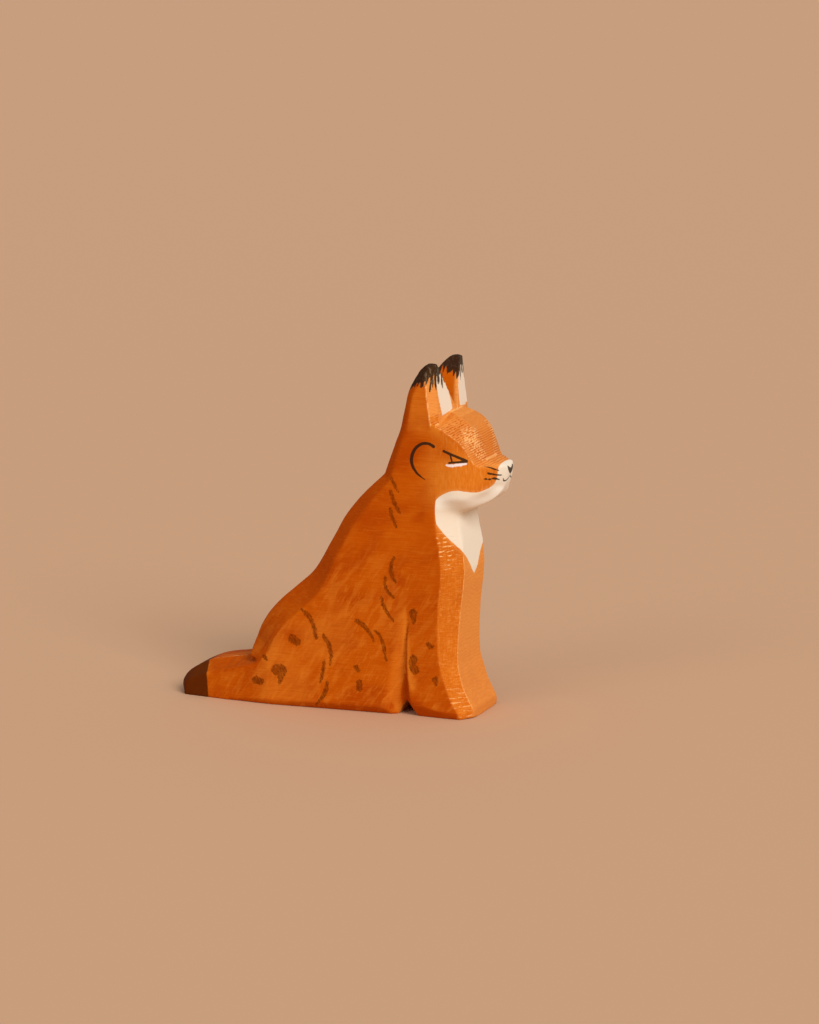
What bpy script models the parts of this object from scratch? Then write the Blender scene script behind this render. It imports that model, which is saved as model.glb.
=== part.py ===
"""A seated lynx kit carved from one board of pale hardwood.

The board is sawn to the animal's outline and then cut with a knife, alike on both sides: the back, chest,
brow, muzzle and jaw are shaved off at the edges, the cheeks taper to the nose, a V parts the ears, and a
groove parts the haunch from the foreleg. Metres, +Z up, nose towards +X, standing on z = 0.
"""

import math

import bmesh
import bpy
import numpy as np

# Board
BOARD_THICKNESS = 0.0280

# Lengths along the board, measured from the groove between haunch and foreleg
HAUNCH_LENGTH = 0.0479  # groove to the root of the tail
TAIL_LENGTH = 0.0230  # root of the tail to its tip
FORELEG_DEPTH = 0.0157  # groove to the fullest point of the chest
WRIST_SETBACK = 0.0017  # how far the wrist lies behind the chest
TOE_REACH = 0.0034  # how far the toes stand before the chest
THROAT_SETBACK = 0.0020  # how far the throat lies behind the chest
NAPE_SETBACK = 0.0069  # how far the nape lies behind the groove
NOSE_REACH = 0.0126  # nose before the throat
BRIDGE_SETBACK = 0.0057  # foot of the brow, behind the nose
BROW_LENGTH = 0.0101  # foot of the brow back to the foot of the ears
EAR_LEAN = 0.0015  # how far the front of an ear leans back over its height
EAR_TOP_LENGTH = 0.0029  # front corner to tip

# Heights
TAIL_HEIGHT = 0.0122
TAIL_TIP_HEIGHT = 0.0015
NAPE_HEIGHT = 0.0679
CHEST_HEIGHT = 0.0412  # its fullest point
WRIST_HEIGHT = 0.0195
TOE_HEIGHT = 0.0026
THROAT_HEIGHT = 0.0570
NOSE_RISE = 0.0125  # nose above the throat
BRIDGE_RISE = 0.0027  # foot of the brow above the nose
BROW_RISE = 0.0130  # foot of the ears above the foot of the brow
EAR_HEIGHT = 0.0134  # front corner of an ear above its foot
EAR_TIP_RISE = 0.0007  # tip above the front corner

# Knife cuts along the edges: width on the side of the board
RUMP_SHAVE = 0.0066
RUMP_SHAVE_START = 0.0036  # at the root of the tail
RUMP_SHAVE_GROWTH = 0.5  # how much wider it gets over each unit of its length, until it is full
SHOULDER_SHAVE = 0.0043
NECK_SHAVE = 0.0020
CHEST_SHAVE = 0.0050
FOOT_SHAVE = 0.0034
CHEST_SHAVE_DEEPER = 0.0006  # the chest cut goes this much further across than along
HAUNCH_BEVEL = 0.0021
HEEL_BEVEL = 0.0046
TOE_BEVEL = 0.0013

# Head
BROW_STRIP = 0.0130  # flat strip along the middle of the forehead
BRIDGE_STRIP = 0.0102  # the same strip at either end of the brow, and on top of the muzzle
BROW_SHAVE = 0.0036
BROW_SHAVE_TOP = 0.0030
BROW_SHAVE_FOOT = 0.0013
MUZZLE_STRIP = 0.0066  # flat strip on top of the nose
MUZZLE_SHAVE = 0.0009
JAW_STRIP_CHIN = 0.0100  # flat strip under the jaw
JAW_STRIP_NOSE = 0.0040
JAW_SLOPE = 1.0
THROAT_RISE = 0.0014  # how much the crease between jaw and chest cut rises from the throat to the side
CHEEK_LENGTH = 0.0140  # nose back to where the cheek starts to turn in
NOSE_WIDTH = 0.0060

# Ears
EAR_GAP_TOP = 0.0186  # width of the V at the tips
EAR_GAP_FOOT = 0.0006  # flat at the bottom of the V
EAR_GAP_KNEE = 0.0084  # width where its walls steepen
EAR_GAP_KNEE_SHARE = 0.46  # height of that knee, as a share of the V
EAR_TURN = 0.0014  # how far the outer edge of an ear lies behind its inner edge
EAR_EDGE = 0.0019  # bevel down the outer front edge of an ear
EAR_TOP_SLOPE = 0.0012  # how much the top of an ear falls away outwards

# Tail
TAIL_TIP_WIDTH = 0.0190
TAIL_END_WIDTH = 0.0078  # flat at the very end, between the cut corners
TAIL_END_CUT = 0.0030  # length of those corners
TAIL_UNDERCUT = 0.0009  # how far the foot of the tail lies before its tip
TAIL_TAPER_RUN = 0.0070  # how far the taper reaches onto the haunch
TAIL_TAPER_HEIGHT = 0.0170
TAIL_STRIP = 0.0094  # flat strip along the top
TAIL_SHAVE = 0.0028

# Groove between haunch and foreleg, and the notch through the board that it ends in
GROOVE_HEIGHT = 0.0310
GROOVE_DEPTH = 0.0036
GROOVE_SETBACK = 0.0010  # how far its foot lies behind the top of the notch
GROOVE_REAR_WIDTH = 0.0054  # its long rear wall, at the base
GROOVE_FRONT_WIDTH = 0.0036  # its short front wall, at the base
GROOVE_LEAN = 0.0026  # how far its top lies before its foot
NOTCH_WIDTH = 0.0062
NOTCH_HEIGHT = 0.0041

# How finely curves are cut, and how far a cutter stands clear of the wood
STEPS = 4
CLEAR = 0.0015

HALF = BOARD_THICKNESS / 2

# Landmarks of the outline, as (x, z) from the groove
tail_root = np.array([-HAUNCH_LENGTH, TAIL_HEIGHT])
tail_end = np.array([-HAUNCH_LENGTH - TAIL_LENGTH, TAIL_TIP_HEIGHT])
tail_foot = np.array([tail_end[0] + TAIL_UNDERCUT, 0.0])
nape = np.array([-NAPE_SETBACK, NAPE_HEIGHT])
chest = np.array([FORELEG_DEPTH, CHEST_HEIGHT])
wrist = chest * (1, 0) + (-WRIST_SETBACK, WRIST_HEIGHT)
toe = chest * (1, 0) + (TOE_REACH, TOE_HEIGHT)
toe_foot = toe * (1, 0)
throat = chest * (1, 0) + (-THROAT_SETBACK, THROAT_HEIGHT)
nose = throat + (NOSE_REACH, NOSE_RISE)
bridge = nose + (-BRIDGE_SETBACK, BRIDGE_RISE)
ear_foot = bridge + (-BROW_LENGTH, BROW_RISE)
ear_front = ear_foot + (-EAR_LEAN, EAR_HEIGHT)
ear_tip = ear_front + (-EAR_TOP_LENGTH, EAR_TIP_RISE)
rump_corner = tail_root + (RUMP_SHAVE_START, -0.2 * TAIL_SHAVE)  # where its crease with the tail meets the side

def smooth(points, steps=STEPS):
    """A curve through the points, with each tangent set by its two neighbours (Catmull-Rom)."""
    points = np.asarray(points, float)
    ends = 2 * points[0] - points[1], 2 * points[-1] - points[-2]
    p = np.vstack([ends[0], points, ends[1]])
    t = (np.arange(steps) / steps)[:, None]
    spans = [
        b + 0.5 * t * (c - a + t * (2 * a - 5 * b + 4 * c - d + t * (3 * (b - c) + d - a)))
        for a, b, c, d in zip(p, p[1:], p[2:], p[3:])
    ]
    return np.vstack(spans + [points[-1:]])


def stretch(start, end, *shares):
    """The outline from one landmark to the next. Shares are (x, z) fractions of the way between them."""
    run = end - start
    return smooth([start, *(start + run * share for share in shares), end])


tail_line = stretch(tail_end, tail_root, (0.03, 0.196), (0.13, 0.449), (0.296, 0.664), (0.522, 0.837))
back_line = stretch(
    tail_root, nape, (0.022, 0.086), (0.080, 0.19), (0.193, 0.296), (0.339, 0.391),
    (0.473, 0.483), (0.602, 0.635), (0.693, 0.756), (0.81, 0.866),
)
neck_line = stretch(nape, ear_tip, (0.146, 0.159), (0.35, 0.388), (0.455, 0.576), (0.569, 0.767), (0.785, 0.914))
ear_line = stretch(ear_front, ear_foot, (0.40, 0.50))
brow_line = stretch(ear_foot, bridge, (0.36, 0.115), (0.665, 0.30), (0.84, 0.535), (0.95, 0.85))
muzzle_line = stretch(bridge, nose, (0.40, 0.22), (0.80, 0.42), (0.97, 0.72))
jaw_line = stretch(nose, throat, (0.02, 0.17), (0.08, 0.368), (0.206, 0.576), (0.452, 0.768), (0.72, 0.885))
chest_line = np.vstack([
    stretch(throat, chest, (0.32, 0.234), (0.68, 0.538))[:-1],
    stretch(chest, wrist, (0.167, 0.194), (0.47, 0.387), (0.75, 0.63))[:-1],
    stretch(wrist, toe, (0.04, 0.272), (0.19, 0.46), (0.47, 0.722), (0.82, 0.92)),
    [toe_foot],
])
OUTLINE = np.vstack([
    [tail_foot], tail_line[:-1], back_line[:-1], neck_line, ear_line[:-1],
    brow_line[:-1], muzzle_line[:-1], jaw_line[:-1], chest_line,
])
CENTRE = (OUTLINE[:, 0].min() + OUTLINE[:, 0].max()) / 2  # the figure stands with its length centred on x = 0


def distance_along(line):
    steps = np.linalg.norm(np.diff(line, axis=0), axis=1)
    return np.concatenate([[0], np.cumsum(steps)])


def along(line, *values):
    """Values spaced evenly along a line, read off at each of its points."""
    way = distance_along(line)
    return np.interp(way / way[-1], np.linspace(0, 1, len(values)), values)


def outwards(line, spread):
    """Directions square to the line and away from the wood, which lies on its right.

    Each is square to a chord that reaches the spread both ways, so that a wide cut goes round a tight bend.
    """
    way = distance_along(line)
    ends = [np.stack([np.interp(way + s, way, line[:, i]) for i in (0, 1)], axis=1) for s in (-spread, spread)]
    chord = ends[1] - ends[0]
    chord /= np.linalg.norm(chord, axis=1)[:, None]
    return np.stack([-chord[:, 1], chord[:, 0]], axis=1)


def head_half_width(x):
    """In plan each cheek is a parabola, from the full board to the nose."""
    share = np.clip((x - nose[0]) / CHEEK_LENGTH + 1, 0, None)
    return HALF - (HALF - NOSE_WIDTH / 2) * share**2


def tail_plan():
    """In plan the tail narrows from the haunch to its tip, whose corners are cut off."""
    along_tail = np.array([tail_end[0], tail_end[0] + TAIL_END_CUT, tail_root[0] + TAIL_TAPER_RUN])
    return np.stack([along_tail, np.array([TAIL_END_WIDTH, TAIL_TIP_WIDTH, BOARD_THICKNESS]) / 2], axis=1)


def tail_half_width(x):
    plan = tail_plan()
    return np.interp(x, plan[:, 0], plan[:, 1])


def whole_board(x):
    return HALF + 0 * x


def collection(name):
    found = bpy.data.collections.new(name)
    bpy.context.scene.collection.children.link(found)
    return found


def clear_scene():
    for obj in list(bpy.data.objects):
        bpy.data.objects.remove(obj)


def flat_piece(name, outline, half_depth, place, turn, group):
    """A closed flat outline drawn as a 2D curve, thickened both ways and made a mesh."""
    curve = bpy.data.curves.new(name, "CURVE")
    curve.dimensions = "2D"
    curve.fill_mode = "BOTH"
    curve.extrude = half_depth
    spline = curve.splines.new("POLY")
    spline.points.add(len(outline) - 1)
    for point, (across, up) in zip(spline.points, outline):
        point.co = (across, up, 0, 1)
    spline.use_cyclic_u = True
    drawn = bpy.data.objects.new(name + "_outline", curve)
    group.objects.link(drawn)
    drawn.location = place
    drawn.rotation_euler = turn
    bpy.context.view_layer.update()
    mesh = bpy.data.meshes.new_from_object(drawn.evaluated_get(bpy.context.evaluated_depsgraph_get()))
    made = bpy.data.objects.new(name, mesh)
    made.matrix_world = drawn.matrix_world
    group.objects.link(made)
    bpy.data.objects.remove(drawn)
    tidy = bmesh.new()
    tidy.from_mesh(mesh)
    bmesh.ops.remove_doubles(tidy, verts=tidy.verts, dist=1e-6)
    bmesh.ops.recalc_face_normals(tidy, faces=tidy.faces)
    tidy.to_mesh(mesh)
    tidy.free()
    return made


def loft(name, rings, group):
    """A closed body through rings of equally many corners, with flat ends."""
    body = bmesh.new()
    verts = [[body.verts.new(corner) for corner in ring] for ring in rings]
    for low, high in zip(verts, verts[1:]):
        for i, j in zip(range(len(low)), [*range(1, len(low)), 0]):
            body.faces.new((low[i], low[j], high[j], high[i]))
    body.faces.new(verts[0])
    body.faces.new(reversed(verts[-1]))
    bmesh.ops.triangulate(body, faces=body.faces, quad_method="FIXED")
    bmesh.ops.recalc_face_normals(body, faces=body.faces)
    mesh = bpy.data.meshes.new(name)
    body.to_mesh(mesh)
    body.free()
    made = bpy.data.objects.new(name, mesh)
    group.objects.link(made)
    return made


def ruled_cutter(name, side_line, edge_line, corner_line, group, past_edge=CLEAR):
    """What one pass of the knife takes off.

    The flat left on the wood runs from side_line, on the side of the board, to edge_line, on its edge. Both
    are carried a little past the wood, and corner_line lies outside it. Where the flat ends in a crease,
    past_edge is next to nothing, so that the knife doesn't nick the wood beyond.
    """
    flat = edge_line - side_line
    flat /= np.linalg.norm(flat, axis=1)[:, None]
    past_edge = np.broadcast_to(past_edge, len(flat))[:, None]
    rings = [side_line - flat * CLEAR, edge_line + flat * past_edge, corner_line]
    return loft(name, np.stack(rings, axis=1), group)


def at(line, y):
    """Points of a line in the board's plane, at their place across the board."""
    return np.stack([line[:, 0] - CENTRE, np.broadcast_to(y, len(line)), line[:, 1]], axis=1)


def pass_along(line, on_side, strip, width_at=whole_board, inset=0.0, lead=(0.0, 0.0)):
    """Side, edge and corner lines of a knife pass along a stretch of the outline.

    It is on_side wide on the wood's side and leaves a strip of that half width along the edge. The wood's half
    width in plan comes from width_at, inset is how far behind the outline its edge lies already, and lead is
    how far the pass runs on at each end.
    """
    on_side, strip = (np.ravel(value) * np.ones(len(line)) for value in (on_side, strip))
    normal = outwards(line, max(on_side.max(), CLEAR))
    line = line - normal * inset
    start, end = line[0] - line[1], line[-1] - line[-2]
    line = np.vstack([
        line[0] + start / np.linalg.norm(start) * lead[0], line[1:-1],
        line[-1] + end / np.linalg.norm(end) * lead[1],
    ])
    side = line - normal * on_side[:, None]
    corner = line + normal * 2 * CLEAR
    return at(side, width_at(side[:, 0])), at(line, strip), at(corner, width_at(line[:, 0]) + 2 * CLEAR)


def edge_cutter(name, group, *args, **options):
    return ruled_cutter(name, *pass_along(*args, **options), group)


def with_end(lines, first=None, last=None):
    """The three lines of a pass, with a place of its own for the first or the last point of each."""
    ends = [(first, slice(1, None))] if first is not None else [(last, slice(None, -1))]
    (points, rest), = ends
    order = (lambda point, line: [point, line]) if first is not None else (lambda point, line: [line, point])
    return [np.vstack(order(point, line[rest])) for point, line in zip(points, lines)]


def back_cutter(group):
    line = np.vstack([back_line, neck_line[1:]])
    shoulder = SHOULDER_SHAVE
    rump = along(back_line, RUMP_SHAVE, RUMP_SHAVE, RUMP_SHAVE, shoulder, shoulder, shoulder * 0.65)
    rump = np.minimum(rump, RUMP_SHAVE_START + distance_along(back_line) * RUMP_SHAVE_GROWTH)
    neck = along(neck_line, shoulder * 0.65, NECK_SHAVE, NECK_SHAVE, NECK_SHAVE)
    wide = np.concatenate([rump, neck[1:]])
    lines = pass_along(line, wide, HALF - wide, tail_half_width, lead=(0.0, 3 * CLEAR))
    first = at(np.array([rump_corner, tail_root, tail_root - (2 * CLEAR, 0)]),
        [tail_half_width(rump_corner[0]), HALF - RUMP_SHAVE_START, HALF + 2 * CLEAR])
    return ruled_cutter("back_cutter", *with_end(lines, first=first), group)


def chest_cutter(group):
    """Down the chest and foreleg, from its crease with the jaw."""
    wide = along(chest_line, CHEST_SHAVE, CHEST_SHAVE, CHEST_SHAVE, CHEST_SHAVE * 0.9, FOOT_SHAVE, FOOT_SHAVE)
    lines = pass_along(chest_line, wide, HALF - wide - CHEST_SHAVE_DEEPER, lead=(0.0, CLEAR))
    side, edge = throat_crease(np.array([1.0, 0.0]))
    corner = edge + (2 * CLEAR, HALF + 2 * CLEAR - edge[1], 0)
    return ruled_cutter("chest_cutter", *with_end(lines, first=(side, edge, corner)), group)


def throat_crease(share):
    """Points of the crease between jaw and chest cut, from the throat at share 0 to the side at share 1."""
    strip = HALF - CHEST_SHAVE - CHEST_SHAVE_DEEPER
    way = throat + np.outer(share, (-CHEST_SHAVE, THROAT_RISE))
    return at(way, strip + (HALF - strip) * share)


def jaw_cutter(group):
    """From the nose under the jaw to the throat, and on along the crease, where it fades out at the side."""
    chest_strip = HALF - CHEST_SHAVE - CHEST_SHAVE_DEEPER
    strip = along(jaw_line, JAW_STRIP_NOSE, JAW_STRIP_NOSE, JAW_STRIP_CHIN, 2 * chest_strip, 2 * chest_strip) / 2
    on_side = (head_half_width(jaw_line[:, 0]) - strip) * JAW_SLOPE
    side, edge, corner = pass_along(jaw_line, on_side, strip, head_half_width, lead=(CLEAR, 0.0))
    share = np.arange(1, 2 * STEPS + 1) / (2 * STEPS)
    fading_edge = throat_crease(share)
    fading_edge[:, 1] += share * CLEAR / 5
    end = fading_edge[-1] + (0, 0, CLEAR / 5)
    turn = np.stack([np.sin(share * math.pi / 2), share, 1 - np.cos(share * math.pi / 2)], axis=1)
    fading_side = side[-1] + (end - side[-1]) * turn
    fading_corner = fading_edge * (1, 0, 1) + (0, HALF + 2 * CLEAR, -CLEAR)
    return ruled_cutter(
        "jaw_cutter",
        np.vstack([side, fading_side]),
        np.vstack([edge, fading_edge]),
        np.vstack([corner, fading_corner]),
        group,
        past_edge=np.where(np.arange(len(edge) + len(share)) < len(edge) - 1, CLEAR, 0.03 * CLEAR),
    )


def brow_cutter(group):
    """From the front of the ears to the foot of the brow."""
    strip = along(brow_line, BRIDGE_STRIP, BROW_STRIP, BROW_STRIP, BRIDGE_STRIP) / 2
    middle, foot = BROW_SHAVE, BROW_SHAVE_FOOT
    on_side = along(
        brow_line, BROW_SHAVE_TOP, middle, middle, (2 * middle + foot) / 3, (middle + 2 * foot) / 3, foot
    )
    lines = pass_along(brow_line, on_side, strip, head_half_width)
    across = np.array([HALF, strip[0], HALF + 2 * CLEAR])
    below = np.array([on_side[0], 0, -CLEAR / 2])
    first = at(ear_foot - np.stack([EAR_TURN * across / HALF, below], axis=1), across)
    lines = with_end(with_end(lines, first=first), last=bridge_crease((2 * CLEAR, CLEAR / 5)))
    return ruled_cutter("brow_cutter", *lines, group)


def bridge_crease(corner):
    """Where brow and muzzle cut meet: on the side, on the edge, and a corner outside the wood."""
    side = bridge - (BROW_SHAVE_FOOT / 4, BROW_SHAVE_FOOT)
    return at(np.array([side, bridge, bridge + corner]),
        [head_half_width(side[0]), BRIDGE_STRIP / 2, HALF + 2 * CLEAR])


def muzzle_cutter(group):
    top = muzzle_line[: 2 * STEPS + 1]
    strip = along(top, BRIDGE_STRIP, MUZZLE_STRIP) / 2
    lines = pass_along(top, MUZZLE_SHAVE, strip, head_half_width, lead=(0.0, CLEAR))
    return ruled_cutter("muzzle_cutter", *with_end(lines, first=bridge_crease((0, 2 * CLEAR))), group)


def ear_front_cutter(group):
    lines = pass_along(ear_line, EAR_TURN, EAR_GAP_FOOT, lead=(CLEAR, 0.0))
    return ruled_cutter("ear_front_cutter", *lines, group, past_edge=EAR_GAP_FOOT / 4)


def ear_edge_cutter(group):
    lead = (CLEAR, BROW_SHAVE_TOP * 0.7)
    return edge_cutter("ear_edge_cutter", group, ear_line, EAR_EDGE, HALF - EAR_EDGE, inset=EAR_TURN, lead=lead)


def ear_top_cutter(group):
    top = np.array([ear_tip, ear_front])
    return edge_cutter("ear_top_cutter", group, top, EAR_TOP_SLOPE, EAR_GAP_TOP / 2, lead=(2 * CLEAR, 2 * CLEAR))


def tail_cutter(group):
    """Along the top of the tail, from its tip to its crease with the cut of the rump."""
    steep = along(tail_line, TAIL_SHAVE * 0.5, TAIL_SHAVE, TAIL_SHAVE, TAIL_SHAVE * 0.5)
    lines = pass_along(tail_line, steep, TAIL_STRIP / 2, tail_half_width, lead=(CLEAR, 0.0))
    last = at(np.array([rump_corner, tail_root, tail_root + (RUMP_SHAVE_START, CLEAR / 3)]),
        [tail_half_width(rump_corner[0]), TAIL_STRIP / 2, HALF + CLEAR])
    return ruled_cutter("tail_cutter", *with_end(lines, last=last), group)


def haunch_cutter(group):
    share = np.linspace(0, 1, 3 * STEPS + 1)
    base = np.stack([-share * (HAUNCH_LENGTH + TAIL_LENGTH / 4), 0 * share], axis=1)
    width = HAUNCH_BEVEL * np.sqrt(1 - 0.95 * share**2)
    strip = tail_half_width(base[:, 0]) - width * 0.66
    return edge_cutter("haunch_cutter", group, base, width, strip, tail_half_width, lead=(CLEAR, 0.0))


def foot_cutter(group):
    share = np.linspace(0, 1, 3 * STEPS + 1)
    base = np.stack([toe_foot[0] * (1 - share), 0 * share], axis=1)
    height = TOE_BEVEL + (HEEL_BEVEL - TOE_BEVEL) * share**2
    return edge_cutter("foot_cutter", group, base, height, HALF - height * 0.5, lead=(CLEAR, 0.0))


def plan_cutter(name, cut, low, high, group):
    """Takes the wood's side down to a line in plan, which runs from off the end of the wood to its side."""
    around = [(cut[-1][0], HALF + CLEAR), (cut[0][0], HALF + CLEAR)]
    plan = np.vstack([cut, around]) - (CENTRE, 0)
    return flat_piece(name, plan, (high - low) / 2, (0, 0, (high + low) / 2), (0, 0, 0), group)


def cheek_cutter(group):
    x = nose[0] - CHEEK_LENGTH * np.linspace(-0.1, 1, 3 * STEPS)
    half = head_half_width(x)
    half[-1] += CLEAR / 50
    return plan_cutter("cheek_cutter", np.stack([x, half], axis=1), throat[1] - 2 * CLEAR, ear_foot[1], group)


def tail_taper_cutter(group):
    end, corner, start = tail_plan()
    off_end = end + (end - corner) * CLEAR / TAIL_END_CUT
    cut = [off_end, corner, start + (0, CLEAR / 50)]
    return plan_cutter("tail_taper_cutter", cut, -CLEAR, TAIL_TAPER_HEIGHT, group)


def ear_gap_cutter(group):
    """The V between the ears, seen from the front, with its walls steeper below the knee."""
    foot = ear_foot[1] + EAR_GAP_FOOT / 2
    top = ear_front[1]
    knee = foot + (top - foot) * EAR_GAP_KNEE_SHARE
    slope = (EAR_GAP_TOP - EAR_GAP_KNEE) / (top - knee)
    over = top + 2 * CLEAR
    half = np.array([EAR_GAP_FOOT, EAR_GAP_KNEE, EAR_GAP_TOP + slope * 2 * CLEAR]) / 2
    height = [foot, knee, over]
    seen = [*zip(half, height), *zip(-half[::-1], height[::-1])]
    reach = (ear_foot - nape)[0]
    place = ((ear_foot[0] + nape[0]) / 2 - CENTRE, 0, 0)
    return flat_piece("ear_gap_cutter", seen, reach, place, (math.pi / 2, 0, math.pi / 2), group)


def notch_cutter(group):
    """The notch through the board at the foot of the groove, with a rounded top."""
    half = NOTCH_WIDTH / 2
    seen = [
        (-half * 1.3, -CLEAR), (-half * 0.85, 0), (-half * 0.55, NOTCH_HEIGHT * 0.55),
        (-half * 0.15, NOTCH_HEIGHT * 0.95), (half * 0.1, NOTCH_HEIGHT), (half * 0.4, NOTCH_HEIGHT * 0.8),
        (half * 0.8, NOTCH_HEIGHT * 0.3), (half * 1.1, 0), (half * 1.5, -CLEAR),
    ]
    return flat_piece("notch_cutter", seen, HALF + CLEAR, (-CENTRE, 0, 0), (math.pi / 2, 0, 0), group)


def groove_cutter(group):
    """A V whose long rear wall faces forwards and whose short front wall is steep, shallower as it rises."""
    share = np.linspace(-0.05, 1.12, 2 * STEPS + 1)
    left = 1 - share
    open_by = np.abs(left)
    up = share * GROOVE_HEIGHT
    valley = GROOVE_LEAN * share**2 - GROOVE_SETBACK
    depth = np.sign(left) * GROOVE_DEPTH * open_by**0.8
    surface = HALF + 2 * np.maximum(-depth, 0)
    rear = at(np.stack([valley - GROOVE_REAR_WIDTH * open_by**0.75, up], axis=1), surface)
    front = at(np.stack([valley + GROOVE_FRONT_WIDTH * open_by**2, up], axis=1), surface)
    bottom = at(np.stack([valley, up], axis=1), HALF - depth)
    over = 0.4
    rings = [bottom, front + (front - bottom) * over, rear + (rear - bottom) * over]
    return loft("groove_cutter", np.stack(rings, axis=1), group)


def stained_wood():
    material = bpy.data.materials.new("stained_wood")
    material.use_nodes = True
    shader = material.node_tree.nodes["Principled BSDF"]
    shader.inputs["Base Color"].default_value = (0.55, 0.13, 0.02, 1)
    shader.inputs["Roughness"].default_value = 0.55
    shader.inputs["Metallic"].default_value = 0.0
    return material


def main():
    clear_scene()
    figure = collection("lynx_kit")
    cutters = collection("cutters")
    body = flat_piece("carved_body", OUTLINE - (CENTRE, 0), HALF, (0, 0, 0), (math.pi / 2, 0, 0), figure)
    for make in (
        back_cutter, chest_cutter, cheek_cutter, brow_cutter, muzzle_cutter, jaw_cutter,
        ear_front_cutter, ear_edge_cutter, ear_top_cutter, tail_taper_cutter, tail_cutter,
        groove_cutter, haunch_cutter, foot_cutter,
    ):
        other_side = make(cutters).modifiers.new("other_side", "MIRROR")
        other_side.use_axis = (False, True, False)
        other_side.use_mirror_merge = False
    ear_gap_cutter(cutters)
    notch_cutter(cutters)
    for cutter in cutters.objects:
        cutter.hide_render = True
        cutter.display_type = "WIRE"
    carve = body.modifiers.new("carve", "BOOLEAN")
    carve.operation = "DIFFERENCE"
    carve.solver = "EXACT"
    carve.operand_type = "COLLECTION"
    carve.collection = cutters
    body.data.materials.append(stained_wood())


main()
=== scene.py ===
"""A seated lynx figurine, carved from one board, stained orange and painted with a brush.

The carved body is one piece of wood. Its surface is laid over the frame's solid on an even grid, and its
edges are softened as by sandpaper. The painted areas and the worn edges are kept on it as distances to them,
so that the finish can draw their outlines sharply.
"""

import math

import bmesh
import bpy
import numpy as np
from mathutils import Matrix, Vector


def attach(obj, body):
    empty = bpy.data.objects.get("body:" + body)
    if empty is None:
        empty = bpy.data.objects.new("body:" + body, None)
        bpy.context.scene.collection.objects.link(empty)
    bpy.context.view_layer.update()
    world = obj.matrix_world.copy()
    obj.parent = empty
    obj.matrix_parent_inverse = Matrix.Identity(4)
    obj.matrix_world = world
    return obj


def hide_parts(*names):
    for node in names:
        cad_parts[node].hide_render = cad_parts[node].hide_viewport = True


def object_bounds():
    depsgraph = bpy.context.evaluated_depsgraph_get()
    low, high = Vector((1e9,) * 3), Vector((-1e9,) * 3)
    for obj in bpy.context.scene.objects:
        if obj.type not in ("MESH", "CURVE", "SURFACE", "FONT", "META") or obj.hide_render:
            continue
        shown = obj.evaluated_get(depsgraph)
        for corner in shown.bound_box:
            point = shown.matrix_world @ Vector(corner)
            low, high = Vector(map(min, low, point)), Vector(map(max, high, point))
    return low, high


bl_info = {
    "name": "Carved Lynx",
    "version": (1, 0, 0),
    "blender": (4, 5, 0),
    "location": "View3D > Sidebar > Lynx",
    "description": "Makes a carved, stained and painted lynx figurine",
    "category": "Object",
}

MM = 0.001
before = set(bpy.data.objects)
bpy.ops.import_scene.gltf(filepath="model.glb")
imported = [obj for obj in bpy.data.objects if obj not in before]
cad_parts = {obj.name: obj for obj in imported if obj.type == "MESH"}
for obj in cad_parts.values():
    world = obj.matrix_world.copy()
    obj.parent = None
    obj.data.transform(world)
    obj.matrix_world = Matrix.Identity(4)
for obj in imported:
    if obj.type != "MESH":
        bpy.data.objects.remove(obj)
CAD_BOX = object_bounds()

# The side view that the brushwork is laid out in: a picture taken from the figure's right front, with both
# sides of the figure seen as the near one. Its frame is 1024 units high.
VIEW_AZIMUTH = math.radians(20)
VIEW_ELEVATION = math.radians(11)
VIEW_PLACE = np.array([0.52438791, -1.38949441, 0.34252072])
VIEW_BACK = np.array([
    math.sin(VIEW_AZIMUTH) * math.cos(VIEW_ELEVATION),
    -math.cos(VIEW_AZIMUTH) * math.cos(VIEW_ELEVATION),
    math.sin(VIEW_ELEVATION),
])
VIEW_SCALE = 5400.0
VIEW_HEIGHT = 1024
VIEW_CENTRE = (409.5, 512.0)
# Units of the side view in a millimetre of the figure, from its far end to its near end
UNITS_AT_TAIL = 3.4
UNITS_AT_BROW = 3.5
UNITS_AT_NOSE = 3.6


def colour(name, text, value):
    return bpy.props.FloatVectorProperty(
        name=name, description=text, default=value, subtype="COLOR", size=3, min=0, max=1
    )


def length(name, text, value):
    return bpy.props.FloatProperty(name=name, description=text, default=value, unit="LENGTH", precision=5)


def number(name, text, value, **limits):
    return bpy.props.FloatProperty(name=name, description=text, default=value, **limits)


class WoodSettings(bpy.types.PropertyGroup):
    """Sizes and colours of the stained wood."""

    grid: length("Grid", "Spacing of the surface grid", 0.39 * MM)
    softening: bpy.props.IntProperty(
        name="Softening", description="Passes that round the edges", default=3, min=0
    )
    inset: length("Inset", "How far the surface lies inside the solid", 0.05 * MM)
    waviness: length("Waviness", "How far the knife strays", 0.05 * MM)
    # The deep stain is also the colour of the painted shade
    deep_stain_and_painted_shade: colour("Deep stain", "Where the stain soaked in most", (0.425, 0.059, 0.0010))
    stain: colour("Stain", "The usual colour of the stained wood", (0.515, 0.091, 0.0016))
    # The pale stain is also the colour of the painted light
    pale_stain_and_painted_light: colour("Pale stain", "Where the stain is thin", (0.66, 0.180, 0.014))
    # Paler stain on cuts that face forwards, partly the end grain's thinner stain and partly painted sheen
    front_stain_and_painted_sheen: colour("Front stain", "On the smooth cuts that face forwards", (0.80, 0.300, 0.064))
    worn: colour("Worn edge", "Where sanding took the stain off an edge", (0.93, 0.52, 0.20))
    roughness: number("Roughness", "Roughness of the waxed wood", 0.50, min=0, max=1, subtype="FACTOR")
    gloss: number("Gloss", "Strength of the wax's reflections", 0.006, min=0, max=1, subtype="FACTOR")


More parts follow.
